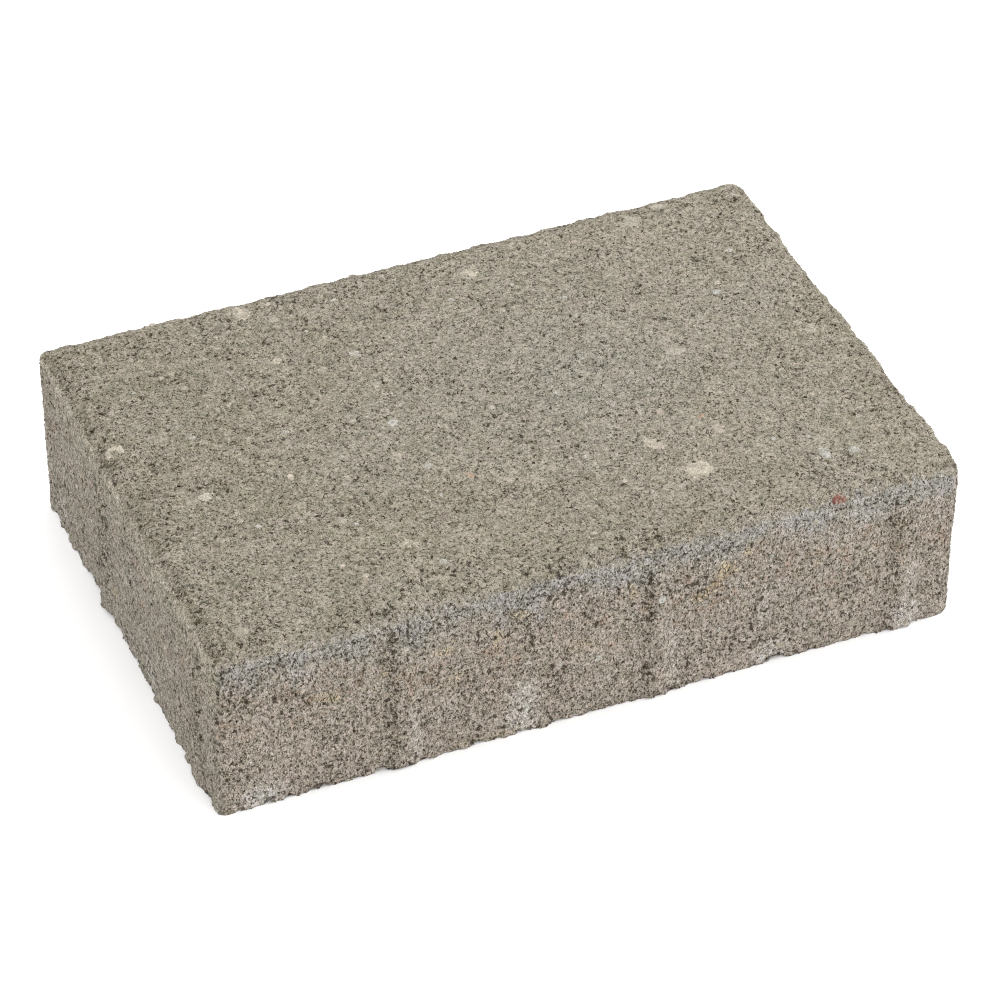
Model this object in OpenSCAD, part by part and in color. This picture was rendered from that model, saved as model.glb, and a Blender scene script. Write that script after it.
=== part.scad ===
// Concrete paving stone with spacer ribs, pressed in one piece.
//
// The origin is the centre of the bed, the flat face that lies on the sand.
// +X runs along the stone, +Y across it, and +Z up to the wearing face.
// All sizes are in millimetres.

/* [Stone] */
// Length along X, without the ribs
body_length = 237; // [160:1:320]
// Width along Y, without the ribs
body_width = 157; // [100:1:240]
// Height from the bed to the wearing face
body_height = 60; // [40:1:100]
// Radius of the four upright corners
corner_radius = 3; // [1:0.5:6]

/* [Chamfer round the wearing face] */
// Width of the chamfer, seen from above
chamfer_run = 5; // [2:0.5:9]
// Height of the chamfer, seen from the side
chamfer_drop = 2.5; // [1:0.5:8]

/* [Spacer ribs] */
// How far a rib stands out, which is half the joint between two stones
rib_stand_out = 1.5; // [0.8:0.1:3]
// Distance from one rib place to the next; every second place holds a rib
rib_pitch = 40.5; // [30:0.5:60]
// Least distance from a rib place to the end of its side
rib_end_distance = 15; // [12:1:24]
// Width of a rib where it leaves the side
rib_foot_width = 11; // [8:0.5:16]
// Width of a rib's flat crest
rib_crest_width = 4.5; // [2:0.5:7]
// Distance from the wearing face down to the top of a rib
rib_top_gap = 10; // [10:0.5:18]
// Height over which a rib's top slopes back into the side
rib_run_out = 5; // [2:0.5:10]

/* [Hidden] */

// How deep a rib is rooted in the body, so that the two are one solid
rib_root = 4;
// How far a cutting shape reaches past what it trims
reach = 10;
// Facets of a full circle
$fn = 96;

rib_height = body_height - rib_top_gap;

// Number of rib places that fit along a side
function rib_places(side) = floor((side - 2 * rib_end_distance) / rib_pitch) + 1;

// Distance of rib place k from the middle of a side that has n places
function rib_offset(k, n) = (k - (n - 1) / 2) * rib_pitch;

// Plan of the body: a rectangle with rounded corners
module body_plan() {
    inner_length = body_length - 2 * corner_radius;
    inner_width = body_width - 2 * corner_radius;
    square([inner_length, body_width], center = true);
    square([body_length, inner_width], center = true);
    for (x = [-1, 1] * inner_length / 2, y = [-1, 1] * inner_width / 2)
        translate([x, y]) circle(r = corner_radius);
}

// Upright section of the body across a side of the given width, chamfered at the top
module chamfered_section(side) {
    half = side / 2;
    shoulder = body_height - chamfer_drop;
    polygon([
        [-half, 0],
        [half, 0],
        [half, shoulder],
        [half - chamfer_run, body_height],
        [chamfer_run - half, body_height],
        [-half, shoulder]
    ]);
}

// The section drawn out along Y, so that it bounds the stone's length
module lengthwise_bound() {
    rotate([90, 0, 0])
        linear_extrude(height = body_width + 2 * reach, center = true)
            chamfered_section(body_length);
}

// The section drawn out along X, so that it bounds the stone's width
module widthwise_bound() {
    rotate([90, 0, 90])
        linear_extrude(height = body_length + 2 * reach, center = true)
            chamfered_section(body_width);
}

// The block itself: rounded upright corners and a mitred chamfer round the top
module body() {
    intersection() {
        linear_extrude(height = body_height) body_plan();
        lengthwise_bound();
        widthwise_bound();
    }
}

// One rib, standing out towards -Y from a side in the plane y = 0
module rib() {
    foot = rib_foot_width / 2;
    crest = rib_crest_width / 2;
    intersection() {
        linear_extrude(height = rib_height)
            polygon([
                [-foot, rib_root],
                [-foot, 0],
                [-crest, -rib_stand_out],
                [crest, -rib_stand_out],
                [foot, 0],
                [foot, rib_root]
            ]);
        rotate([90, 0, 90])
            linear_extrude(height = rib_foot_width + 2 * reach, center = true)
                polygon([
                    [rib_root, 0],
                    [-rib_stand_out, 0],
                    [-rib_stand_out, rib_height - rib_run_out],
                    [0, rib_height],
                    [rib_root, rib_height]
                ]);
    }
}

// The ribs of one side, at every second place counted from the left as one faces the side
module side_ribs(side, distance) {
    places = rib_places(side);
    for (k = [1 : 2 : places - 1])
        translate([rib_offset(k, places), -distance, 0]) rib();
}

// Ribs on all four sides, the same on each pair when the stone is turned by half a turn
module ribs() {
    for (turn = [0, 180]) {
        rotate([0, 0, turn]) side_ribs(body_length, body_width / 2);
        rotate([0, 0, turn - 90]) side_ribs(body_width, body_length / 2);
    }
}

module paving_stone() {
    color([0.61, 0.58, 0.53])
        union() {
            body();
            ribs();
        }
}

paving_stone();
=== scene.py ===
"""Looks of a concrete paving stone with spacer ribs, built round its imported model.

The stone is one pressed block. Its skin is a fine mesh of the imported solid, which a Geometry Nodes relief
erodes into sand grains, pits, worn arrises and a frayed bed edge. Gravel shows in that skin as separate
lumpy pebbles, and sand grains stand on it. Sizes in the classes below are in millimetres, while Blender
works in metres.
"""

import logging
import math
from dataclasses import dataclass, field, fields
from enum import Enum
from functools import reduce

import bmesh
import bpy
import numpy as np
from mathutils import Matrix, Vector


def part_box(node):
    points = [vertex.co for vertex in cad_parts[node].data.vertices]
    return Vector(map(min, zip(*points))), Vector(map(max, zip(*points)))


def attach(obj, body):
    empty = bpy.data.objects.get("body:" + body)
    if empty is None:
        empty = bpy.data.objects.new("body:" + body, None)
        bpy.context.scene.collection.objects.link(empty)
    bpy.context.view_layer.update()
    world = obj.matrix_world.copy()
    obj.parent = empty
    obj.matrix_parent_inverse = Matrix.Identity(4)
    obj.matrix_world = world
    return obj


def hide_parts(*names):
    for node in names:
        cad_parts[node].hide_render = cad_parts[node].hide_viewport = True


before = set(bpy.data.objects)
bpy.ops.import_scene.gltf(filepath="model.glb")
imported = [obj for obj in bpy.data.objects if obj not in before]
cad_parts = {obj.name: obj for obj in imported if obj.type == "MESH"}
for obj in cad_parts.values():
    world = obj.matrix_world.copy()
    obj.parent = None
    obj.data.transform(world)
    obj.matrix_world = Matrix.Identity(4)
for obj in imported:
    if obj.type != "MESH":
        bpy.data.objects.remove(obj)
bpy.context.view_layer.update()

LOG = logging.getLogger("paving_stone")
NODE = "paving_stone"
BODY = "root"
MM = 0.001
CHAMFER_DROP = 2.5
FLOOR_GAP = 0.02
MAP_NAME = "OFBake"
DOME = (0.15, 0.85)  # where a grain's top ends and its foot starts, as shares of a cell
NOISE_SWING = (0.132, 0.099, 0.087)  # how far a noise of 0, 1 or 2 finer layers usually swings

Socket = bpy.types.NodeSocket
Outputs = bpy.types.bpy_prop_collection
Number = float | Socket
Colour = tuple[float, float, float]
Triple = tuple[float, float, float]
Pair = tuple[np.ndarray, np.ndarray]


def srgb(*parts: int) -> Colour:
    """Turn a colour on the usual 0 to 255 scale into linear light."""
    shares = (part / 255 for part in parts)
    return tuple(part / 12.92 if part <= 0.04045 else ((part + 0.055) / 1.055) ** 2.4 for part in shares)


# ---------------------------------------------------------------- node building


class Graph:
    """A node tree with short ways to add and join its nodes. It serves shaders and geometry alike."""

    def __init__(self, tree: bpy.types.NodeTree) -> None:
        """Take the tree to build in."""
        self.tree = tree

    def feed(self, socket: Socket, value: object) -> None:
        """Give an input a link, if value is a socket, or else a fixed value.

        Args:
            socket: The input.
            value: An output socket, or the value to set.
        """
        if isinstance(value, Socket):
            self.tree.links.new(value, socket)
        else:
            socket.default_value = value

    def add(self, kind: str, inputs: dict | None = None, **settings: object) -> bpy.types.Node:
        """Add one node.

        Args:
            kind: Blender's name for the node's type.
            inputs: Value or link for each input, by its name or number.
            settings: Values of the node's own properties.

        Returns:
            The new node.
        """
        node = self.tree.nodes.new(kind)
        for name, value in settings.items():
            setattr(node, name, value)
        for key, value in (inputs or {}).items():
            self.feed(node.inputs[key], value)
        return node

    def math(self, operation: str, a: Number, b: Number = 0.0) -> Socket:
        """Join two numbers by an operation that Blender names."""
        return self.add("ShaderNodeMath", {0: a, 1: b}, operation=operation).outputs[0]

    def minus(self, a: Number, b: Number) -> Socket:
        """Take b from a."""
        return self.math("SUBTRACT", a, b)

    def greater(self, a: Number, b: Number) -> Socket:
        """Give the greater of two numbers."""
        return self.math("MAXIMUM", a, b)

    def times(self, *values: Number) -> Socket:
        """Multiply numbers."""
        return reduce(lambda a, b: self.math("MULTIPLY", a, b), values)

    def plus(self, *parts: Number | tuple[Number, ...]) -> Socket:
        """Add up numbers, where a part in brackets holds some to multiply first."""
        values = [self.times(*part) if isinstance(part, tuple) else part for part in parts]
        return reduce(lambda a, b: self.math("ADD", a, b), values)

    def ramp(self, value: Number, low: Number, high: Number, start: Number = 0, end: Number = 1) -> Socket:
        """Carry value smoothly from start, at low, to end, at high."""
        inputs = {"Value": value, "From Min": low, "From Max": high, "To Min": start, "To Max": end}
        return self.add("ShaderNodeMapRange", inputs, interpolation_type="SMOOTHSTEP").outputs["Result"]

    def fade(self, value: Number, low: Number, high: Number) -> Socket:
        """Carry value smoothly from 1, at low, to 0, at high."""
        return self.ramp(value, low, high, 1.0, 0.0)

    def split(self, vector: object) -> Outputs:
        """Take a vector apart into its X, Y and Z."""
        return self.add("ShaderNodeSeparateXYZ", {0: vector}).outputs

    def join(self, x: Number, y: Number, z: Number) -> Socket:
        """Make a vector of three numbers."""
        return self.add("ShaderNodeCombineXYZ", {0: x, 1: y, 2: z}).outputs[0]

    def vector(self, operation: str, a: object, b: object = (0.0, 0.0, 0.0)) -> Socket:
        """Join two vectors by an operation that Blender names and whose result is a vector."""
        return self.add("ShaderNodeVectorMath", {0: a, 1: b}, operation=operation).outputs[0]

    def scaled(self, vector: object, factor: Number) -> Socket:
        """Make a vector longer or shorter."""
        return self.add("ShaderNodeVectorMath", {0: vector, "Scale": factor}, operation="SCALE").outputs[0]

    def blend(self, factor: Number, a: object, b: object, mode: str = "MIX") -> Socket:
        """Mix two colours.

        Args:
            factor: The share of b.
            a: The colour at 0.
            b: The colour at 1.
            mode: Blender's name for the way of mixing.

        Returns:
            The mixed colour.
        """
        first, second = (side if isinstance(side, Socket) else (*side, 1.0) for side in (a, b))
        inputs = {0: factor, 6: first, 7: second}
        return self.add("ShaderNodeMix", inputs, data_type="RGBA", blend_type=mode).outputs[2]

    def noise(self, place: object, size: Number, detail: float = 1.0, colour: bool = False) -> Socket:
        """Read a soft random pattern, which is about 0.5 on average.

        Args:
            place: Where to read it, in millimetres.
            size: How wide its blots are, in millimetres.
            detail: How many finer layers it has.
            colour: Whether three separate patterns come out, as a colour.

        Returns:
            The pattern.
        """
        inputs = {"Vector": place, "Scale": self.math("DIVIDE", 1.0, size), "Detail": detail}
        node = self.add("ShaderNodeTexNoise", inputs, noise_dimensions="3D")
        return node.outputs["Color" if colour else "Fac"]

    def wave(self, place: object, size: Number, detail: int = 1) -> Socket:
        """Read a soft random pattern whose usual swing about 0 is 1 either way."""
        return self.times(self.minus(self.noise(place, size, detail), 0.5), 1 / NOISE_SWING[detail])

    def cells(self, place: object, size: Number) -> Outputs:
        """Split space into random cells, one for each grain, with a distance and a random colour in each."""
        inputs = {"Vector": place, "Scale": self.math("DIVIDE", 1.0, size)}
        return self.add("ShaderNodeTexVoronoi", inputs, voronoi_dimensions="3D", feature="F1").outputs

    def shaken(self, place: object, size: Number, detail: float = 1.0) -> Socket:
        """Read a soft random shift, which is at most half a unit long along each axis."""
        return self.vector("SUBTRACT", self.noise(place, size, detail, colour=True), (0.5, 0.5, 0.5))

    def drift(self, place: object, size: float, reach: float) -> Socket:
        """Bend space a little, so that cells lose their straight edges.

        Args:
            place: The place to bend, in millimetres.
            size: How wide the bends are, in millimetres.
            reach: How far a place is moved, in millimetres.

        Returns:
            The bent place.
        """
        return self.vector("ADD", place, self.scaled(self.shaken(place, size), 2 * reach))


class Kind(Enum):
    """The kinds of socket that the trees below use."""

    NUMBER = "NodeSocketFloat"
    VECTOR = "NodeSocketVector"
    COLOUR = "NodeSocketColor"
    MESH = "NodeSocketGeometry"
    MATERIAL = "NodeSocketMaterial"
    COUNT = "NodeSocketInt"


def new_tree(
    name: str, kind: str, takes: dict[str, object], gives: dict[str, Kind]
) -> tuple[Graph, Outputs]:
    """Start a node tree with named inputs and outputs.

    Args:
        name: The tree's name.
        kind: Blender's name for the tree's type.
        takes: By name, an input's first value, if it is a number, or else what the input carries.
        gives: By name, what an output carries.

    Returns:
        The tree to build in, and the sockets that bring its inputs.
    """
    tree = bpy.data.node_groups.new(name, kind)
    for key, value in takes.items():
        number = Kind.COUNT if isinstance(value, int) else Kind.NUMBER
        carries = value if isinstance(value, Kind) else number
        made = tree.interface.new_socket(name=key, in_out="INPUT", socket_type=carries.value)
        if not isinstance(value, Kind):
            made.default_value = value
    for key, carries in gives.items():
        tree.interface.new_socket(name=key, in_out="OUTPUT", socket_type=carries.value)
    graph = Graph(tree)
    return graph, graph.add("NodeGroupInput").outputs


def inputs_of(sizes: object) -> dict[str, float]:
    """Read a dataclass's fields, each under the name of the input that it is for."""
    return {item.name.replace("_", " ").title(): getattr(sizes, item.name) for item in fields(sizes)}


def pit_field(graph: Graph, place: object, size: Number, nest_size: Number, openness: Number) -> Socket:
    """Say where sand is missing from the surface. The relief and the finish share this, so that they agree.

    Args:
        graph: Where the nodes go.
        place: The place, in millimetres.
        size: How wide a pit is, in millimetres.
        nest_size: How wide a nest of pits is, in millimetres.
        openness: How many pits there are, from 0 to about 1.

    Returns:
        A number that is 0 off the pits and 1 in them.
    """
    closed, nest_pull, open_pull, softness = 0.69, -0.028, -0.1, 0.045
    bar = graph.plus(closed, (graph.wave(place, nest_size), nest_pull), (openness, open_pull))
    bend_size, bend = 1.2, 0.3
    pattern = graph.noise(graph.drift(place, bend_size, bend), size, 2.0)
    return graph.ramp(pattern, bar, graph.plus(bar, softness))


def stone_regions(graph: Graph, at: Outputs, half: tuple[Number, Number, Number]) -> dict[str, Socket]:
    """Measure how far a place lies from the stone's edges.

    Args:
        graph: Where the nodes go.
        at: The place's X, Y and Z, in millimetres.
        half: The body's half length, half width and whole height, in millimetres.

    Returns:
        By name: the inset from the nearest side, the way across from the next one, shoulder as the distance
        from the arris under the chamfer, short, which is over 0 by the short sides, and edge, which is 1 on
        the worn rim of the wearing face.
    """
    rim, plain, arris_free, arris_far = 4.0, 26.0, 1.0, 4.0
    inset_x = graph.minus(half[0], graph.math("ABSOLUTE", at["X"]))
    inset_y = graph.minus(half[1], graph.math("ABSOLUTE", at["Y"]))
    inset = graph.greater(graph.math("MINIMUM", inset_x, inset_y), 0.0)
    under = graph.math("ABSOLUTE", graph.minus(graph.minus(half[2], at["Z"]), CHAMFER_DROP))
    shoulder = graph.plus(under, inset)
    return {
        "inset": inset,
        "across": graph.greater(graph.greater(inset_x, inset_y), 0.0),
        "shoulder": shoulder,
        "short": graph.minus(inset_y, inset_x),
        "edge": graph.times(graph.fade(inset, rim, plain), graph.ramp(shoulder, arris_free, arris_far)),
    }


# ---------------------------------------------------------------- the skin's relief


@dataclass(frozen=True)
class Relief:
    """How the pressed surface departs from the smooth block. Each field is an input of the relief's tree."""

    round_off: float = 9.0
    sag: float = 0.12
    sag_size: float = 30.0
    grain: float = 0.12
    grain_size: float = 2.0
    pit: float = 0.6
    pit_size: float = 1.7
    pit_share: float = 0.3
    edge_pits: float = 0.36
    side_pits: float = 0.1
    nest_size: float = 12.0
    wear: float = 1.05
    wear_size: float = 7.0
    wear_proud: float = 0.3
    wear_reach: float = 2.6
    corner: float = 0.55
    corner_reach: float = 7.0
    fray: float = 1.9
    fray_size: float = 8.5
    fray_reach: float = 3.0
    flash: float = 0.8
    flash_size: float = 5.5
    seed: float = 11.0


def relief_tree(half: Vector, relief: Relief) -> bpy.types.NodeTree:
    """Build the nodes that erode the skin.

    Args:
        half: Half the body's length and width, without ribs, and its whole height, in millimetres.
        relief: The relief's sizes.

    Returns:
        The geometry tree.
    """
    takes = {"Geometry": Kind.MESH, "Half Length": half.x, "Half Width": half.y, "Height": half.z}
    takes |= inputs_of(relief)
    graph, given = new_tree("pressed_relief", "GeometryNodeTree", takes, {"Geometry": Kind.MESH})
    raw = graph.add("GeometryNodeInputPosition").outputs[0]

    # Worn ribs and arrises: average each place with those round it, but leave the bed's edge to the fray.
    sharp_to, worn_from = 2.0, 5.0
    inputs = {"Value": raw, "Iterations": given["Round Off"], "Weight": 1.0}
    blur = graph.add("GeometryNodeBlurAttribute", inputs, data_type="FLOAT_VECTOR").outputs[0]
    share = graph.ramp(graph.times(graph.split(raw)["Z"], 1 / MM), sharp_to, worn_from)
    mixed = graph.add("ShaderNodeMix", {0: share, 4: raw, 5: blur}, data_type="VECTOR").outputs[1]
    inputs = {"Geometry": given["Geometry"], "Position": mixed}
    worn = graph.add("GeometryNodeSetPosition", inputs).outputs[0]

    position = graph.add("GeometryNodeInputPosition").outputs[0]
    normal = graph.add("GeometryNodeInputNormal").outputs[0]
    own = graph.scaled(position, 1 / MM)
    place = graph.vector("ADD", own, graph.join(given["Seed"], 0.0, 0.0))
    at, rise = graph.split(own), graph.split(normal)["Z"]
    zone = stone_regions(graph, at, (given["Half Length"], given["Half Width"], given["Height"]))

    # Which way the surface looks: the bed stays plainer, and the sides are more open than the top.
    bed_calm = 0.75
    plain = graph.minus(1.0, graph.times(graph.fade(rise, -0.75, -0.35), bed_calm))
    side = graph.fade(graph.math("ABSOLUTE", rise), 0.3, 0.8)

    # Grains, pits and the broad sag between them.
    dust_share = 0.25
    cell = graph.cells(graph.drift(place, 2.4, 0.5), given["Grain Size"])
    hollow = graph.ramp(cell["Distance"], *DOME)
    grains = graph.times(graph.plus(hollow, (graph.wave(place, 0.9, 2), dust_share)), given["Grain"])
    share = graph.plus(given["Pit Share"], (zone["edge"], given["Edge Pits"]), (side, given["Side Pits"]))
    pit = pit_field(graph, place, given["Pit Size"], given["Nest Size"], share)
    sag = graph.times(graph.plus(graph.wave(place, given["Sag Size"], 2), 1.0), given["Sag"])
    small = graph.times(graph.plus(grains, (pit, given["Pit"]), sag), plain)

    # Worn arrises and corners, and the frayed edge round the bed.
    chip_share, nick_share, nick_size = 0.8, 0.35, 3.0
    upright = graph.plus(zone["across"], zone["inset"])
    near = graph.fade(graph.math("MINIMUM", zone["shoulder"], upright), 0.0, given["Wear Reach"])
    worn_away = graph.ramp(graph.wave(place, given["Wear Size"]), -1.2, 1.6)
    wear = graph.times(near, graph.plus(worn_away, (given["Wear Proud"], -1.0)), given["Wear"])
    tip = graph.fade(graph.plus(zone["shoulder"], upright), 0.0, given["Corner Reach"])
    to_bed = graph.plus(graph.math("POWER", zone["inset"], 2.0), graph.math("POWER", at["Z"], 2.0))
    near_bed = graph.fade(graph.math("SQRT", to_bed), 0.0, given["Fray Reach"])
    chip = graph.ramp(graph.wave(place, given["Fray Size"]), 0.2, 1.6)
    nick = graph.ramp(graph.wave(place, nick_size, 2), -0.8, 2.0)
    fray = graph.times(near_bed, graph.plus((chip, chip_share), (nick, nick_share)), given["Fray"])
    depth = graph.plus(small, wear, (tip, given["Corner"]), fray)
    moved = graph.vector("ADD", position, graph.scaled(normal, graph.times(depth, -MM)))

    # Flash: cement paste that crept out along the pallet, outwards only and never below the bed.
    outward = graph.vector("NORMALIZE", graph.vector("MULTIPLY", normal, (1.0, 1.0, 0.0)))
    lump = graph.ramp(graph.wave(place, given["Flash Size"]), 0.2, 1.8)
    crept = graph.times(graph.fade(at["Z"], 0.3, 2.4), lump, given["Flash"], MM, graph.minus(1.0, chip))
    moved = graph.vector("ADD", moved, graph.scaled(outward, crept))
    moved = graph.vector("MAXIMUM", moved, (-1.0, -1.0, FLOOR_GAP * MM))

    placed = graph.add("GeometryNodeSetPosition", {"Geometry": worn, "Position": moved}).outputs[0]
    smooth = graph.add("GeometryNodeSetShadeSmooth", {"Geometry": placed}).outputs[0]
    graph.add("NodeGroupOutput", {"Geometry": smooth})
    return graph.tree


# ---------------------------------------------------------------- finishes


def grain_group() -> bpy.types.NodeTree:
    """Build the group for packed sand grains: their height, the gaps between them, and each one's own tone
    with a painted highlight on its top.

    Returns:
        The shader group.
    """
    takes = {"Place": Kind.VECTOR, "Grain Size": 0.9, "Openness": 0.5, "Cracks": 0.0}
    gives = {"Height": Kind.NUMBER, "Gap": Kind.NUMBER, "Tone": Kind.NUMBER, "Tint": Kind.COLOUR}
    graph, given = new_tree("packed_grain", "ShaderNodeTree", takes, gives)
    size, plain = given["Grain Size"], given["Place"]
    place = graph.drift(plain, 0.9, 0.2)
    cell = graph.cells(place, size)
    own = graph.add("ShaderNodeSeparateColor", {0: cell["Color"]}).outputs[0]
    dome = graph.fade(cell["Distance"], *DOME)
    dust_size, clump_size, single_swing = 0.42, 2.6, 3.4
    body = graph.wave(place, size)
    dust = graph.wave(plain, graph.times(size, dust_size))
    clump = graph.wave(plain, graph.times(size, clump_size))
    single = graph.times(graph.minus(own, 0.5), single_swing)
    # Painted highlight: each grain is lighter on its top.
    painted_dome_highlight = graph.minus(dome, 0.5)
    tone = graph.plus((body, 0.24), (dust, 0.68), (clump, 0.13), (single, 0.42), (painted_dome_highlight, 0.8))
    height = graph.plus((dome, 0.8), (body, 0.22), (dust, 0.22))

    # Holes open where grains meet, more of them where the mix is open.
    hole_size, closed, open_pull, seam_pull, softness = 0.72, 0.795, -0.1, 0.16, 0.05
    bar = graph.plus(closed, (given["Openness"], open_pull))
    opening = graph.noise(graph.vector("ADD", place, (31.0, 7.0, 13.0)), graph.times(size, hole_size))
    opening = graph.plus(opening, (graph.minus(1.0, dome), seam_pull))
    hole = graph.ramp(opening, bar, graph.plus(bar, softness))

    # Cracks run round the clumps, in short lengths.
    length, depth, whole, split = 1.9, 1.1, 0.55, 0.85
    rim = graph.fade(graph.math("ABSOLUTE", clump), 0.12, 0.3)
    broken = graph.wave(graph.vector("ADD", place, (11.0, 29.0, 3.0)), graph.times(size, length))
    crack = graph.times(rim, graph.ramp(broken, whole, split), given["Cracks"], depth)
    feeds = {"Height": height, "Gap": graph.greater(hole, crack), "Tone": tone, "Tint": cell["Color"]}
    graph.add("NodeGroupOutput", feeds)
    return graph.tree


@dataclass(frozen=True)
class Patches:
    """Soft patches: their width, the width and strength of what breaks them up, how rare and how soft."""

    patch_size: float = 30.0
    mottle_size: float = 2.0
    mottle: float = 0.5
    threshold: float = 0.0
    softness: float = 1.0


def cloud_group() -> bpy.types.NodeTree:
    """Build the group for soft patches that a wide pattern edges and a fine one breaks up.

    Returns:
        The shader group.
    """
    takes = {"Place": Kind.VECTOR} | inputs_of(Patches())
    graph, given = new_tree("soft_patches", "ShaderNodeTree", takes, {"Mask": Kind.NUMBER})
    fine = graph.wave(given["Place"], given["Mottle Size"], 2)
    value = graph.plus(graph.wave(given["Place"], given["Patch Size"], 2), (fine, given["Mottle"]))
    low = graph.minus(given["Threshold"], given["Softness"])
    high = graph.plus(given["Threshold"], given["Softness"])
    graph.add("NodeGroupOutput", {"Mask": graph.ramp(value, low, high)})
    return graph.tree


class Shader(Graph):
    """The nodes of one material, with the place that its patterns are read at."""

    def __init__(self, name: str, groups: dict[str, bpy.types.NodeTree]) -> None:
        """Start an empty material.

        Args:
            name: The material's name.
            groups: The shader groups, by name.
        """
        self.material = bpy.data.materials.new(name)
        self.material.use_nodes = True
        self.material.node_tree.nodes.clear()
        super().__init__(self.material.node_tree)
        self.groups = groups
        self.place = self.scaled(self.add("ShaderNodeTexCoord").outputs["Object"], 1 / MM)

    def attribute(self, name: str, part: str = "Fac") -> Socket:
        """Read a number, or with part a colour, that is kept on the mesh."""
        return self.add("ShaderNodeAttribute", attribute_name=name).outputs[part]

    def group(self, name: str, inputs: dict[str, object]) -> Outputs:
        """Place a shader group.

        Args:
            name: The group's name.
            inputs: By name, what it takes. The place is the material's own unless this says another.

        Returns:
            What the group gives.
        """
        node = self.add("ShaderNodeGroup", node_tree=self.groups[name])
        for key, value in ({"Place": self.place} | inputs).items():
            self.feed(node.inputs[key], value)
        return node.outputs

    def patches(self, look: Patches) -> Socket:
        """Read the mask of some soft patches."""
        return self.group("soft_patches", inputs_of(look))["Mask"]

    def close(self, colour: Socket, rough: Socket, height: Socket, bump: float, shine: float) -> None:
        """Join the finish to the material's shader.

        Args:
            colour: The base colour.
            rough: The roughness.
            height: The bump's height, from 0 to about 1.
            bump: How high 1 stands, in millimetres.
            shine: How strongly the surface mirrors.
        """
        inputs = {"Height": height, "Strength": 1.0, "Distance": bump * MM}
        normal = self.add("ShaderNodeBump", inputs).outputs[0]
        inputs = {"Base Color": colour, "Roughness": rough, "Normal": normal, "Specular IOR Level": shine}
        shader = self.add("ShaderNodeBsdfPrincipled", inputs)
        self.add("ShaderNodeOutputMaterial", {"Surface": shader.outputs[0]})


@dataclass(frozen=True)
class Palette:
    """The concrete's colours, in linear light."""

    face: Colour = srgb(141, 134, 120)
    side: Colour = srgb(144, 135, 124)
    end: Colour = srgb(136, 129, 118)
    end_high: Colour = srgb(139, 133, 119)
    bead: Colour = srgb(164, 157, 143)
    band: Colour = srgb(142, 139, 134)
    haze: Colour = srgb(139, 135, 124)
    olive: Colour = srgb(130, 124, 108)
    rust: Colour = srgb(135, 115, 99)
    # Also the colour of the painted highlights on the rib flanks.
    chalk: Colour = srgb(177, 175, 170)
    ochre: Colour = srgb(168, 148, 104)
    # Painted shade for the gaps, pits and pockets.
    gap: Colour = srgb(50, 36, 19)


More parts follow.
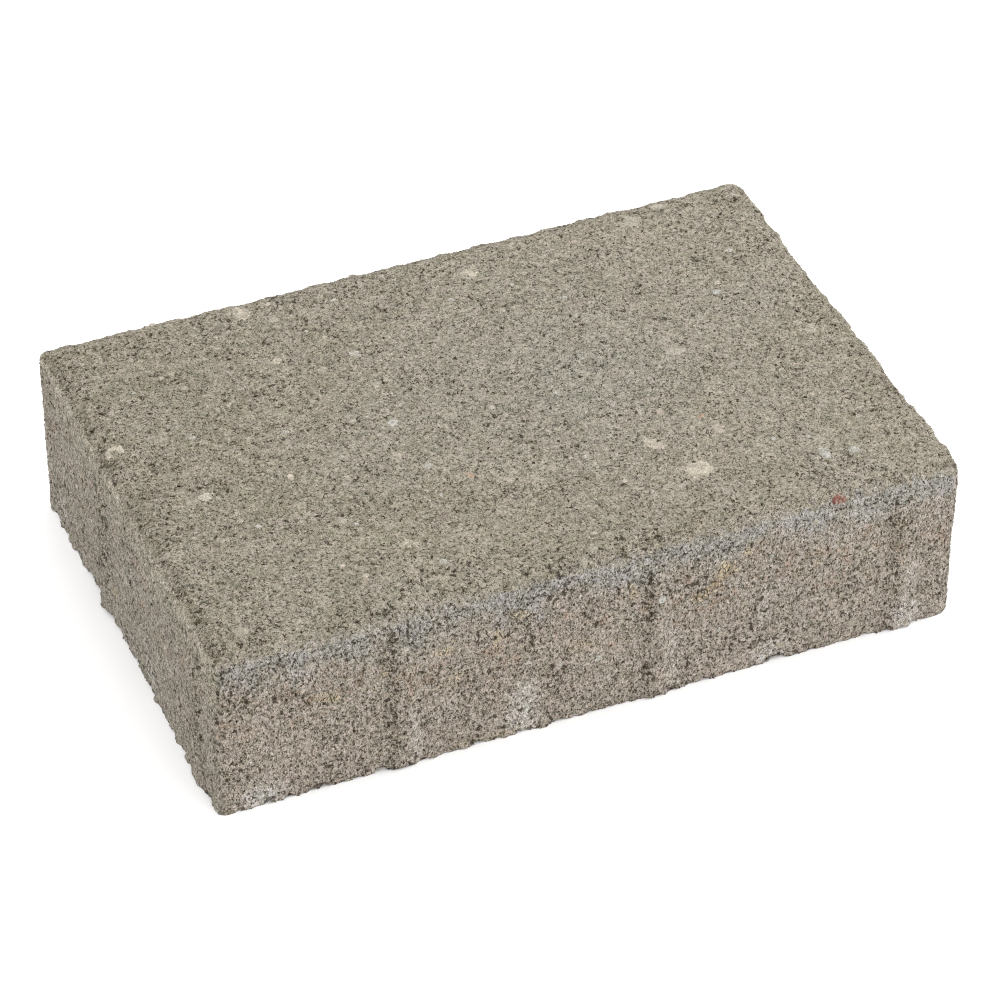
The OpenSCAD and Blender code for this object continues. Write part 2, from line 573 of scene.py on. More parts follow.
@dataclass(frozen=True)
class ConcreteFinish:
    """Pressed concrete: sand held in cement paste, open between its grains."""

    half: Vector
    relief: Relief = field(default_factory=Relief)
    name: str = "pressed_concrete"
    palette: Palette = field(default_factory=Palette)
    pale: Patches = Patches(48.0, 5.0, 0.7)
    sandy: Patches = Patches(17.0, 4.0, 0.9, 0.4)
    rusty: Patches = Patches(7.0, 2.5, 0.8, 1.3, 0.7)
    grain_size: float = 0.85
    side_finer: float = -0.13
    drag: float = 1.6
    face_openness: float = 0.36
    side_openness: float = 0.92
    nest_openness: float = 0.16
    edge_openness: float = 0.2
    end_openness: float = -0.5
    chalk_openness: float = -0.9
    foul_openness: float = 0.4
    foul_side_openness: float = 0.2
    face_contrast: float = 0.3
    side_contrast: float = 0.38
    end_calm: float = 0.04
    chalk_calm: float = 0.4
    # How much dirt and painted shade on the rib flanks lower the tone.
    foul_dark: float = 0.12
    own_tone: float = 0.2
    mottle: float = 0.03
    mottle_size: float = 6.5
    slope: float = 0.0005
    side_slope: float = 0.6
    foot_light: float = 0.06
    foot_height: float = 16.0
    least_tone: float = 0.3
    most_tone: float = 2.2
    cooling: float = 1.12
    hue_size: float = 3.0
    broad_hue: float = 0.05
    grain_hue: float = 0.014
    # How strongly painted shade fills the gaps and the pits.
    gap_dark: float = 0.88
    pit_dark: float = 0.75
    bead_share: float = 0.7
    bead_cover: float = 0.8
    bead_size: float = 1.9
    bead_reach: tuple[float, float] = (0.6, 1.9)
    chalk_share: float = 0.8
    ochre_share: float = 0.75
    rough: tuple[float, float] = (0.97, 0.84)
    bump: float = 0.16
    gap_bump: float = -0.9
    pit_bump: float = -1.2
    shine: float = 0.25
    turn_width: float = 3.0
    ragged_size: float = 2.6
    ragged_reach: float = 0.7
    broad_size: float = 16.0
    broad_reach: float = 2.8
    fine_size: float = 3.0
    fine_reach: float = 1.6
    band_top: float = 57.4
    top_edge: tuple[float, float] = (-2.4, 1.6)
    band_foot: float = 49.0
    band_soft: float = 4.0
    end_rise: tuple[float, float] = (40.0, 52.0)
    waist_rise: tuple[float, float] = (24.0, 32.0)
    waist_fall: tuple[float, float] = (42.0, 48.0)
    waist_rust: float = 0.4
    side_rust: float = 0.08
    calm_at: Triple = (25.0, 6.0, 60.0)
    calm_reach: tuple[float, float] = (95.0, 62.0)
    calm_fade: tuple[float, float] = (0.2, 1.1)
    calm_haze: float = 0.5
    pale_haze: float = 0.2
    top_olive: float = 0.4
    all_olive: float = 0.1

    def build(self, groups: dict[str, bpy.types.NodeTree]) -> bpy.types.Material:
        """Make the material.

        Args:
            groups: The shader groups, by name.

        Returns:
            The material.
        """
        graph = Shader(self.name, groups)
        zone = self.zones(graph)
        grain = self.grains(graph, zone)
        colour = self.patched(graph, zone, self.ground(graph, zone))
        colour = self.toned(graph, zone, grain, self.marked(graph, zone, grain, colour))

        relief = self.relief
        shifted = graph.vector("ADD", graph.place, (relief.seed, 0.0, 0.0))
        edge, side = (zone["edge"], relief.edge_pits), (zone["below"], relief.side_pits)
        share = graph.plus(relief.pit_share, edge, side, (zone["foul"], self.foul_openness))
        pit = pit_field(graph, shifted, relief.pit_size, relief.nest_size, share)
        # Painted shade: the gaps between grains, the pits and the lost-grain pockets take a deep brown where
        # shade falls in them.
        hollow_shade = graph.greater(graph.times(grain["Gap"], self.gap_dark), graph.times(pit, self.pit_dark))
        hollow_shade = graph.times(hollow_shade, graph.plus(1.0, (zone["beads"], -self.bead_cover)))
        colour = graph.blend(graph.greater(hollow_shade, zone["pocket"]), colour, self.palette.gap)

        rough = graph.ramp(grain["Tone"], -1.0, 1.5, *self.rough)
        height = graph.plus(grain["Height"], (grain["Gap"], self.gap_bump), (pit, self.pit_bump))
        graph.close(colour, rough, height, self.bump, self.shine)
        return graph.material

    def zones(self, graph: Shader) -> dict[str, Socket]:
        """Tell the wearing face with its chamfer from the sides below it, and read what is kept on the mesh.

        Args:
            graph: The material's nodes.

        Returns:
            By name: all that stone_regions gives, the place as x, y and z, its height as ragged and, with
            wider waves, as level, masks for top, below, long_side, short_side and beads, and the mesh's
            attributes.
        """
        place, at = graph.place, graph.split(graph.place)
        zone = stone_regions(graph, at, tuple(self.half))
        zone |= {"x": at["X"], "y": at["Y"], "z": at["Z"]}
        zone |= {name: graph.attribute(name) for name in ("chalk", "ochre", "foul", "own_tone", "pocket")}
        zone["ragged"] = graph.plus(at["Z"], (graph.wave(place, self.ragged_size, 2), self.ragged_reach))
        low, high = self.top_edge
        zone["top"] = graph.ramp(zone["ragged"], self.band_top + low, self.band_top + high)
        zone["below"] = graph.minus(1.0, zone["top"])
        broad = (graph.wave(place, self.broad_size), self.broad_reach)
        wander = graph.plus(broad, (graph.wave(place, self.fine_size, 2), self.fine_reach))
        zone["level"] = graph.plus(at["Z"], wander)
        zone["long_side"] = graph.fade(zone["short"], -self.turn_width, 0.0)
        zone["short_side"] = graph.minus(1.0, zone["long_side"])
        arris = graph.fade(zone["shoulder"], *self.bead_reach)
        clumps = graph.ramp(graph.wave(place, self.bead_size), -1.5, 0.2)
        zone["beads"] = graph.times(arris, clumps, zone["short_side"])
        return zone

    def grains(self, graph: Shader, zone: dict[str, Socket]) -> Outputs:
        """Pack the grains, closer on the face than on the sides, where the mould drags them upwards.

        Args:
            graph: The material's nodes.
            zone: What zones() gives.

        Returns:
            What the group for packed grains gives.
        """
        over = graph.plus(zone["z"], -self.band_top)
        over = graph.plus(graph.greater(over, 0.0), (graph.math("MINIMUM", over, 0.0), 1 / self.drag))
        nests = (graph.wave(graph.place, self.relief.nest_size), self.nest_openness)
        rim, foul = (zone["edge"], self.edge_openness), (zone["foul"], self.foul_openness)
        face = graph.plus(self.face_openness, nests, rim, foul)
        foul, chalk = (zone["foul"], self.foul_side_openness), (zone["chalk"], self.chalk_openness)
        side = graph.plus(self.side_openness, foul, chalk, (zone["short_side"], self.end_openness))
        upper = graph.math("GREATER_THAN", zone["ragged"], self.band_top)
        inputs = {
            "Place": graph.join(zone["x"], zone["y"], over),
            "Grain Size": graph.plus(self.grain_size + self.side_finer, (upper, -self.side_finer)),
            "Openness": graph.plus((zone["top"], face), (zone["below"], side)),
            "Cracks": zone["top"],
        }
        return graph.group("packed_grain", inputs)

    def ground(self, graph: Shader, zone: dict[str, Socket]) -> Socket:
        """Lay the ground colours: the face, the band of fine mix under it, the long sides and the ends.

        Args:
            graph: The material's nodes.
            zone: What zones() gives.

        Returns:
            The colour.
        """
        colours, level = self.palette, zone["level"]
        over_foot = graph.ramp(level, self.band_foot - self.band_soft, self.band_foot + self.band_soft)
        band = graph.times(over_foot, zone["below"], zone["long_side"])
        end = graph.blend(graph.ramp(level, *self.end_rise), colours.end, colours.end_high)
        colour = graph.blend(band, graph.blend(zone["long_side"], end, colours.side), colours.band)
        return graph.blend(zone["top"], colour, colours.face)

    def patched(self, graph: Shader, zone: dict[str, Socket], colour: Socket) -> Socket:
        """Add wide patches of paler paste and of sandier mix, and rusty spots on the middle of the sides.

        Args:
            graph: The material's nodes.
            zone: What zones() gives.
            colour: The colour so far.

        Returns:
            The new colour.
        """
        pale, sandy, rusty = (graph.patches(look) for look in (self.pale, self.sandy, self.rusty))
        long, wide = self.calm_reach
        away = graph.vector("SUBTRACT", graph.place, self.calm_at)
        away = graph.vector("MULTIPLY", away, (1 / long, 1 / wide, 0.0))
        away = graph.add("ShaderNodeVectorMath", {0: away}, operation="LENGTH").outputs["Value"]
        calm = graph.fade(away, *self.calm_fade)
        haze = graph.plus((pale, self.pale_haze), (calm, zone["top"], self.calm_haze))
        colour = graph.blend(haze, colour, self.palette.haze)
        olive = graph.plus(self.all_olive, (zone["top"], graph.minus(1.0, calm), self.top_olive))
        colour = graph.blend(graph.times(sandy, olive), colour, self.palette.olive)
        level = zone["level"]
        waist = graph.times(graph.ramp(level, *self.waist_rise), graph.fade(level, *self.waist_fall))
        rust = graph.times(rusty, graph.plus((waist, self.waist_rust), self.side_rust), zone["below"])
        return graph.blend(rust, colour, self.palette.rust)

    def marked(self, graph: Shader, zone: dict[str, Socket], grain: Outputs, colour: Socket) -> Socket:
        """Add the pale worn arris, the chalky rub marks with the painted highlights on the rib flanks, and
        the ochre stains.

        Args:
            graph: The material's nodes.
            zone: What zones() gives.
            grain: What grains() gives.
            colour: The colour so far.

        Returns:
            The new colour.
        """
        lit = graph.ramp(grain["Tone"], -1.2, 0.9)
        colour = graph.blend(graph.times(zone["beads"], self.bead_share), colour, self.palette.bead)
        colour = graph.blend(graph.times(zone["chalk"], lit, self.chalk_share), colour, self.palette.chalk)
        return graph.blend(graph.times(zone["ochre"], lit, self.ochre_share), colour, self.palette.ochre)

    def toned(self, graph: Shader, zone: dict[str, Socket], grain: Outputs, colour: Socket) -> Socket:
        """Give each grain its own lightness and a trace of its own hue.

        Args:
            graph: The material's nodes.
            zone: What zones() gives.
            grain: What grains() gives.
            colour: The colour so far.

        Returns:
            The new colour.
        """
        on_long, chalk = (zone["long_side"], self.end_calm), (zone["chalk"], -self.chalk_calm)
        calm = graph.plus(1 - self.end_calm, on_long, chalk)
        contrast = graph.plus((zone["top"], self.face_contrast), (zone["below"], calm, self.side_contrast))
        slope = graph.times(graph.plus(zone["top"], (zone["below"], self.side_slope)), self.slope)
        tone = graph.plus(
            1.0,
            (grain["Tone"], contrast),
            (graph.wave(graph.place, self.mottle_size, 2), self.mottle),
            # Dirt, and painted shade on the rib flanks, lower the tone.
            (zone["foul"], -self.foul_dark),
            (zone["own_tone"], self.own_tone),
            (zone["x"], slope),
            graph.ramp(zone["z"], 0.0, self.foot_height, self.foot_light, 0.0),
        )
        tone = graph.math("MINIMUM", graph.greater(tone, self.least_tone), self.most_tone)
        hue = graph.noise(graph.place, self.hue_size, 2.0, colour=True)
        colour = graph.blend(self.broad_hue, colour, hue, "OVERLAY")
        colour = graph.blend(self.grain_hue, colour, grain["Tint"], "OVERLAY")
        cooler = graph.plus(1.0, (graph.minus(tone, 1.0), self.cooling))
        return graph.blend(1.0, colour, graph.join(tone, tone, cooler), "MULTIPLY")


@dataclass(frozen=True)
class GravelFinish:
    """Bare gravel, each pebble of its own colour, partly under a film of cement."""

    name: str = "exposed_gravel"
    film: Colour = srgb(137, 132, 119)
    film_share: float = 0.72
    film_patches: Patches = Patches(2.4, 0.7, 1.2, 0.25)
    # Painted shade in the cracks between the grains.
    crack: Colour = srgb(62, 55, 44)
    crack_share: float = 0.5
    grain_size: float = 0.7
    openness: float = 0.45
    contrast: float = 0.26
    bump: float = 0.07
    shine: float = 0.3

    def build(self, groups: dict[str, bpy.types.NodeTree]) -> bpy.types.Material:
        """Make the material.

        Args:
            groups: The shader groups, by name.

        Returns:
            The material.
        """
        graph = Shader(self.name, groups)
        covered = graph.patches(self.film_patches)
        grain = graph.group("packed_grain", {"Grain Size": self.grain_size, "Openness": self.openness})
        paint = graph.attribute("paint", "Color")
        colour = graph.blend(graph.times(covered, self.film_share), paint, self.film)
        tone = graph.plus(1.0, (grain["Tone"], self.contrast))
        colour = graph.blend(1.0, colour, graph.join(tone, tone, tone), "MULTIPLY")
        # Painted shade: the cracks between grains take a deep brown.
        colour = graph.blend(graph.times(grain["Gap"], self.crack_share), colour, self.crack)
        rough = graph.ramp(covered, 0.0, 1.0, 0.7, 0.92)
        graph.close(colour, rough, grain["Height"], self.bump, self.shine)
        return graph.material


# ---------------------------------------------------------------- the stone


@dataclass(frozen=True)
class Mark:
    """A rub, stain or painted highlight on a side: a soft slanted streak."""

    along: float
    up: float
    length: float
    width: float
    slant: float = 0.0
    strength: float = 1.0
    on_long: bool = True


@dataclass(frozen=True)
class Pocket:
    """A hole where a grain has come out: its middle, its half sizes, the way it opens and how deep it is."""

    middle: Triple
    radii: Triple
    outward: Triple
    depth: float = 0.9


def put(name: str, data: bpy.types.ID) -> bpy.types.Object:
    """Add an object to the scene.

    Args:
        name: The object's name.
        data: Its mesh, camera or lamp.

    Returns:
        The object.
    """
    made = bpy.data.objects.new(name, data)
    bpy.context.scene.collection.objects.link(made)
    return made


def settle(piece: bpy.types.Object) -> None:
    """Replace a piece's mesh by its evaluated one, and take its modifiers off.

    Args:
        piece: The piece.
    """
    graph = bpy.context.evaluated_depsgraph_get()
    solved = piece.evaluated_get(graph)
    plain = bpy.data.meshes.new_from_object(solved, preserve_all_data_layers=True, depsgraph=graph)
    plain.name = piece.name
    piece.modifiers.clear()
    piece.data = plain


def read_all(items: bpy.types.bpy_prop_collection, name: str, kind: type, width: int = 1) -> np.ndarray:
    """Read one property of all the vertices, corners or faces of a mesh.

    Args:
        items: The mesh's list of them.
        name: The property's name.
        kind: What one number is kept as.
        width: How many numbers one item has.

    Returns:
        The numbers, in a row for each item where width is over 1.
    """
    found = np.empty(len(items) * width, kind)
    items.foreach_get(name, found)
    return found.reshape(-1, width) if width > 1 else found


def coordinates_of(mesh: bpy.types.Mesh) -> np.ndarray:
    """Read a mesh's vertices, one row for each, in metres."""
    return read_all(mesh.vertices, "co", np.float32, 3)


def keep(mesh: bpy.types.Mesh, name: str, values: np.ndarray) -> None:
    """Keep a number, or a vector, on each vertex of a mesh.

    Args:
        mesh: The mesh.
        name: The attribute's name.
        values: A number or a row of three for each vertex.
    """
    kind, key = ("FLOAT", "value") if values.ndim == 1 else ("FLOAT_VECTOR", "vector")
    layer = mesh.attributes.get(name) or mesh.attributes.new(name, kind, "POINT")
    layer.data.foreach_set(key, values.astype(np.float32).ravel())


@dataclass(frozen=True)
class Chart:
    """A flat patch of the picture sheet: two axes, where it lies, where they start, and how it is shrunk."""

    across: int
    up: int
    corner: tuple[float, float]
    start: tuple[float, float]
    scale: float = 1.0


@dataclass(frozen=True)
class Sheet:
    """The piece's own map: six flat views of the stone, one for each way that its faces look."""

    size: float = 360.0
    left: float = -121.0
    near: float = -81.0
    bed_scale: float = 0.4

    def charts(self) -> dict[tuple[int, bool], Chart]:
        """List the views, each by the axis it looks along and whether that is outwards.

        Returns:
            The charts.
        """
        flat, side, end = (self.left, self.near), (self.left, 0.0), (0.0, self.near)
        return {
            (2, True): Chart(0, 1, (2, 2), flat),
            (1, False): Chart(0, 2, (2, 166), side),
            (1, True): Chart(0, 2, (2, 230), side),
            (0, False): Chart(2, 1, (248, 2), end),
            (0, True): Chart(2, 1, (248, 168), end),
            (2, False): Chart(0, 1, (2, 293), flat, self.bed_scale),
        }

    def lay(self, mesh: bpy.types.Mesh) -> None:
        """Give a mesh the map.

        Args:
            mesh: The mesh.
        """
        normals = read_all(mesh.polygons, "normal", np.float32, 3)
        corners = read_all(mesh.polygons, "loop_total", np.int32)
        axis = np.abs(normals).argmax(1)
        outward = normals[np.arange(len(axis)), axis] > 0
        axis, outward = np.repeat(axis, corners), np.repeat(outward, corners)
        at = coordinates_of(mesh)[read_all(mesh.loops, "vertex_index", np.int32)] / MM
        placed = np.zeros((len(at), 2))
        for (way, positive), chart in self.charts().items():
            chosen = (axis == way) & (outward == positive)
            flat = at[chosen][:, [chart.across, chart.up]] - chart.start
            placed[chosen] = (flat * chart.scale + chart.corner) / self.size
        layer = mesh.uv_layers.get(MAP_NAME) or mesh.uv_layers.new(name=MAP_NAME)
        layer.uv.foreach_set("vector", placed.astype(np.float32).ravel())


@dataclass
class Skin:
    """The stone's surface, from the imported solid."""

    rib_stand_out: float = 1.5
    rib_pitch: float = 40.5
    weld: float = 0.001
    voxel: float = 0.45
    triangles: int = 192_000
    pocket_rim: float = 1.3
    pocket_edge: float = 1.6
    # How strong the painted shade in the pockets is.
    pocket_dark: float = 0.8
    mark_rim: float = 1.6
    side_depth: float = 2.0
    relief: Relief = field(default_factory=Relief)

    def __post_init__(self) -> None:
        """Work out the body's sizes, without ribs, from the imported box."""
        high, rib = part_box(NODE)[1], self.rib_stand_out
        self.half = Vector((high.x / MM - rib, high.y / MM - rib, high.z / MM))

    def build(self) -> bpy.types.Object:
        """Remesh the solid finely, erode it and thin it to its share of triangles.

        Returns:
            The skin's object, without a material.
        """
        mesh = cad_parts[NODE].data.copy()
        mesh.materials.clear()
        welded = bmesh.new()
        welded.from_mesh(mesh)
        bmesh.ops.remove_doubles(welded, verts=welded.verts, dist=self.weld * MM)
        welded.to_mesh(mesh)
        welded.free()
        piece = put("stone_skin", mesh)

        remesh = piece.modifiers.new("fine", "REMESH")
        remesh.mode = "VOXEL"
        remesh.voxel_size = self.voxel * MM
        piece.modifiers.new("relief", "NODES").node_group = relief_tree(self.half, self.relief)
        settle(piece)
        thin = piece.modifiers.new("thin", "DECIMATE")
        thin.ratio = self.triangles / (2 * len(piece.data.polygons))
        settle(piece)
        self.sink_pockets(piece.data)
        return piece

    def sink_pockets(self, mesh: bpy.types.Mesh) -> None:
        """Press the lost-grain pockets into the skin, keep painted shade in them for the finish to read, and
        keep the skin on or above the floor.

        Args:
            mesh: The skin's mesh.
        """
        at = coordinates_of(mesh) / MM
        shade = np.zeros(len(at))
        for pocket in self.pockets():
            away = np.linalg.norm((at - pocket.middle) / pocket.radii, axis=1)
            hollow = np.clip(self.pocket_rim - away, 0, 1)
            # Painted shade, fullest in the middle of each pocket.
            shade = np.maximum(shade, np.clip(hollow * self.pocket_edge, 0, 1))
            at -= np.array(pocket.outward) * (hollow * pocket.depth)[:, None]
        at[:, 2] = np.maximum(at[:, 2], 0.0)
        mesh.vertices.foreach_set("co", (at * MM).astype(np.float32).ravel())
        mesh.update()
        keep(mesh, "pocket", shade * self.pocket_dark)

    def pockets(self) -> list[Pocket]:
        """List the larger holes that lost grains have left.

        Returns:
            The pockets.
        """
        return [
            Pocket((-117.6, 19.5, 58.2), (1.2, 2.0, 1.2), (-0.5, 0.0, 0.8)),
            Pocket((-116.6, 22.4, 58.8), (0.8, 1.2, 0.8), (-0.5, 0.0, 0.8)),
            Pocket((113.8, -38.8, 59.9), (0.8, 1.9, 0.8), (0.2, 0.0, 1.0)),
            Pocket((116.0, -33.5, 59.0), (0.7, 1.1, 0.7), (0.4, 0.0, 0.9)),
            Pocket((-2.0, -78.5, 44.0), (0.7, 0.5, 2.2), (0.0, -1.0, 0.0)),
            Pocket((98.6, -78.5, 33.0), (0.9, 0.6, 3.2), (0.0, -1.0, 0.0)),
        ]

    def paint(self, mesh: bpy.types.Mesh) -> None:
        """Keep the chalky rub marks with the painted highlights, the stains, and the places darkened by dirt
        and painted shade on the mesh, for the finish to read.

        Args:
            mesh: The skin's mesh.
        """
        at = coordinates_of(mesh) / MM
        inset = np.stack([self.half.x - np.abs(at[:, 0]), self.half.y - np.abs(at[:, 1])])
        long_side = inset[1] < inset[0]
        along = np.where(long_side, -at[:, 0] * np.sign(at[:, 1]), at[:, 1] * np.sign(at[:, 0]))
        on_side = (inset.min(0) < self.side_depth) & (at[:, 2] < self.half.z - self.side_depth)
        for name, marks in (("chalk", self.rubs()), ("ochre", self.stains())):
            total = np.zeros(len(at))
            for mark in marks:
                turn = math.radians(mark.slant)
                across, up = along - mark.along, at[:, 2] - mark.up
                u = (across * math.cos(turn) + up * math.sin(turn)) / (mark.length / 2)
                v = (up * math.cos(turn) - across * math.sin(turn)) / (mark.width / 2)
                fall = np.clip(self.mark_rim - np.hypot(u, v), 0, 1) * mark.strength
                total = np.maximum(total, np.where(long_side == mark.on_long, fall, 0))
            keep(mesh, name, total * on_side)
        keep(mesh, "foul", self.fouled(self.half.z - at[:, 2], inset, along, long_side))

    def fouled(self, drop: np.ndarray, inset: np.ndarray, along: np.ndarray, long: np.ndarray) -> np.ndarray:
        """Say where the stone is darkened: by dirt on the short chamfers, by painted shade on one flank of
        each rib on a long side, by dirt and painted shade on the ribs of a short side, and beside the
        upright arrises.

        Args:
            drop: How far each vertex lies under the top, in millimetres.
            inset: How far each one lies from the short and from the long sides.
            along: How far along its own side each one lies, turned alike on opposite sides.
            long: Whether each one's nearest side is a long one.

        Returns:
            A number for each vertex, 0 where it is left as it is and about 1 where dirt or painted shade
            darken it most.
        """
        near, wall = inset.min(0), drop > 3
        middle, reach, on_long, lowest = 2.6, 3.2, 0.1, 2.4
        chamfer = np.clip(1 - np.abs(near - middle) / reach, 0, 1) * (drop < lowest)
        chamfer = chamfer * np.where(long, on_long, 1.0)

        # Ribs stand at every second place. Painted shade lies on one flank of those on a long side, and dirt
        # with painted shade all over the ones on a short side.
        first = np.where(long, -1.5, -0.5) * self.rib_pitch
        beat = (along - first + self.rib_pitch) / (2 * self.rib_pitch)
        from_rib = (beat - np.round(beat - 0.5) - 0.5) * 2 * self.rib_pitch
        flank_at, flank_reach, rib_reach, starts, on_long = 3.6, 2.8, 6.5, 6, 1.7
        flank = np.clip(1 - np.abs(from_rib + flank_at) / flank_reach, 0, 1)
        flank = np.where(long, flank, np.clip(1.4 - np.abs(from_rib) / rib_reach, 0, 1))
        flank = flank * ((near < 1.0) & wall) * np.clip((drop - starts) / starts, 0, 1)
        flank = flank * np.where(long, on_long, 1.0)

        # Darker beside the upright arrises.
        reach, on_short, share = 6.0, 0.3, 0.8
        upright = np.clip(1 - inset.max(0) / reach, 0, 1) * wall * np.where(long, 1.0, on_short)
        return np.maximum(np.maximum(chamfer, flank), upright * share)

    def rubs(self) -> list[Mark]:
        """List the chalky rub marks, at the empty rib places, where the next stone's ribs touch, and the
        painted highlights, tall streaks on one flank of some ribs of the long sides.

        Returns:
            The rub marks and the painted highlights.
        """
        place = self.rib_pitch / 2
        return [
            Mark(-5 * place - 3.0, 4.0, 12, 7, 0, 1.15),
            Mark(-place - 2.5, 9, 9, 17, 0, 1.1),
            Mark(-place - 1, 27, 3, 6, 0, 0.4),
            # Painted highlight: a tall streak on one flank of a rib.
            Mark(-3 * place + 3.5, 12, 4, 26, 0, 0.45),
            Mark(3 * place - 4, 25, 6, 12, 0, 0.35),
            Mark(3 * place - 3, 4, 9, 8, 0, 1.1),
            # Painted highlight: a tall streak on one flank of a rib.
            Mark(place + 5, 14, 5, 30, 0, 0.4),
            Mark(5 * place + 1.5, 5, 8, 9, 0, 1.15),
            # Painted highlight: a tall streak on one flank of a rib.
            Mark(5 * place + 2.5, 20, 4, 18, 0, 0.3),
            Mark(place, 10, 8, 16, 0, 0.4, on_long=False),
            Mark(-3 * place, 8, 5, 9, 0, 0.5, on_long=False),
        ]

    def stains(self) -> list[Mark]:
        """List the ochre stains.

        Returns:
            The stains.
        """
        return [
            Mark(-24.5, 46.8, 8, 2.6, -25, 0.9),
            Mark(-31.3, 40, 2, 8, 0, 0.7),
            Mark(-48.2, 40.5, 5, 2, 0, 0.9),
            Mark(11.5, 43.5, 2, 6, 10, 0.7),
            Mark(42.5, 42.5, 4, 6, 40, 0.9),
            Mark(37.5, 37.5, 9, 3.0, 55, 0.8),
            Mark(33.5, 34, 4, 3, 0, 0.8),
            Mark(65.5, 32.7, 3, 4, 0, 0.5),
            Mark(48.5, 47, 2, 4, 0, 0.6),
            Mark(-84, 35, 11, 2.4, -25, 0.6),
            Mark(-67, 38, 4, 2, 0, 0.5),
            Mark(-46, 28.5, 9, 3, 15, 0.4),
            Mark(-4.5, 28, 8, 4, 0, 0.3),
            Mark(-35, 1.8, 22, 2.0, 0, 0.35),
            Mark(99, 42, 3, 6, -25, 0.3),
            Mark(-12, 14, 5, 4, 30, 0.4, on_long=False),
            Mark(30, 30, 9, 3, 30, 0.3, on_long=False),
            Mark(-35, 38, 8, 3, -15, 0.3, on_long=False),
        ]

    def dress(self, piece: bpy.types.Object, concrete: bpy.types.Material) -> None:
        """Give the skin its marks and its finish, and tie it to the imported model.

        Args:
            piece: The skin.
            concrete: The finish.
        """
        self.paint(piece.data)
        piece.data.materials.clear()
        piece.data.materials.append(concrete)
        Sheet().lay(piece.data)
        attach(piece, BODY)
        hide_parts(NODE)


# ---------------------------------------------------------------- sand and gravel


def lump_tree() -> bpy.types.NodeTree:
    """Build the nodes that put one lumpy grain on each point they are given.

    The points carry their own numbers: "aim" is the way out of the surface, "extent" the grain's half sizes
    in metres, and "turn" its angle about aim.

    Returns:
        The geometry tree.
    """
    takes = {"Geometry": Kind.MESH, "Segments": 4, "Rings": 2, "Lump": 0.15, "Lump Size": 0.8}
    takes["Material"] = Kind.MATERIAL
    graph, given = new_tree("lumps_on_points", "GeometryNodeTree", takes, {"Geometry": Kind.MESH})

    def read(name: str, kind: str) -> Socket:
        """Read an attribute of the points."""
        return graph.add("GeometryNodeInputNamedAttribute", {"Name": name}, data_type=kind).outputs[0]

    inputs = {"Segments": given["Segments"], "Rings": given["Rings"], "Radius": 1.0}
    ball = graph.add("GeometryNodeMeshUVSphere", inputs).outputs["Mesh"]
    inputs = {"Vector": read("aim", "FLOAT_VECTOR")}
    aim = graph.add("FunctionNodeAlignRotationToVector", inputs, axis="Z").outputs[0]
    inputs = {"Axis": (0.0, 0.0, 1.0), "Angle": read("turn", "FLOAT")}
    spin = graph.add("FunctionNodeAxisAngleToRotation", inputs).outputs[0]
    inputs = {"Rotation": aim, "Rotate By": spin}
    turned = graph.add("FunctionNodeRotateRotation", inputs, rotation_space="LOCAL").outputs[0]
    inputs = {"Points": given["Geometry"], "Instance": ball, "Rotation": turned}
    inputs["Scale"] = read("extent", "FLOAT_VECTOR")
    placed = graph.add("GeometryNodeInstanceOnPoints", inputs).outputs[0]
    real = graph.add("GeometryNodeRealizeInstances", {"Geometry": placed}).outputs[0]

    position = graph.add("GeometryNodeInputPosition").outputs[0]
    shake = graph.shaken(graph.scaled(position, 1 / MM), given["Lump Size"], 0.0)
    moved = graph.vector("ADD", position, graph.scaled(shake, graph.times(given["Lump"], 2 * MM)))
    moved = graph.vector("MAXIMUM", moved, (-1.0, -1.0, FLOOR_GAP * MM))
    lumpy = graph.add("GeometryNodeSetPosition", {"Geometry": real, "Position": moved}).outputs[0]
    smooth = graph.add("GeometryNodeSetShadeSmooth", {"Geometry": lumpy}).outputs[0]
    inputs = {"Geometry": smooth, "Material": given["Material"]}
    graph.add("NodeGroupOutput", {"Geometry": graph.add("GeometryNodeSetMaterial", inputs).outputs[0]})
    return graph.tree


@dataclass
class Surface:
    """The skin's triangles, to put things on."""

    skin: bpy.types.Object

    def __post_init__(self) -> None:
        """Read the skin's triangles once."""
        mesh = self.skin.data
        mesh.calc_loop_triangles()
        corners = read_all(mesh.loop_triangles, "vertices", np.int32, 3)
        self.points = coordinates_of(mesh).astype(np.float64)[corners]
        across = np.cross(self.points[:, 1] - self.points[:, 0], self.points[:, 2] - self.points[:, 0])
        self.area = np.linalg.norm(across, axis=1) / 2
        self.normal = across / np.maximum(2 * self.area, 1e-12)[:, None]
        self.middle = self.points.mean(1)

    def scatter(self, count: int, chosen: np.ndarray, draw: np.random.Generator) -> Pair:
        """Drop points evenly at random.

        Args:
            count: How many.
            chosen: Whether each triangle may take any.
            draw: The source of random numbers.

        Returns:
            The points and the surface's outward direction at each.
        """
        share = self.area * chosen
        faces = draw.choice(len(share), count, p=share / share.sum())
        first, second = draw.random((2, count))
        over = first + second > 1
        first, second = np.where(over, 1 - first, first), np.where(over, 1 - second, second)
        a, b, c = (self.points[faces, k] for k in range(3))
        return a + first[:, None] * (b - a) + second[:, None] * (c - a), self.normal[faces]


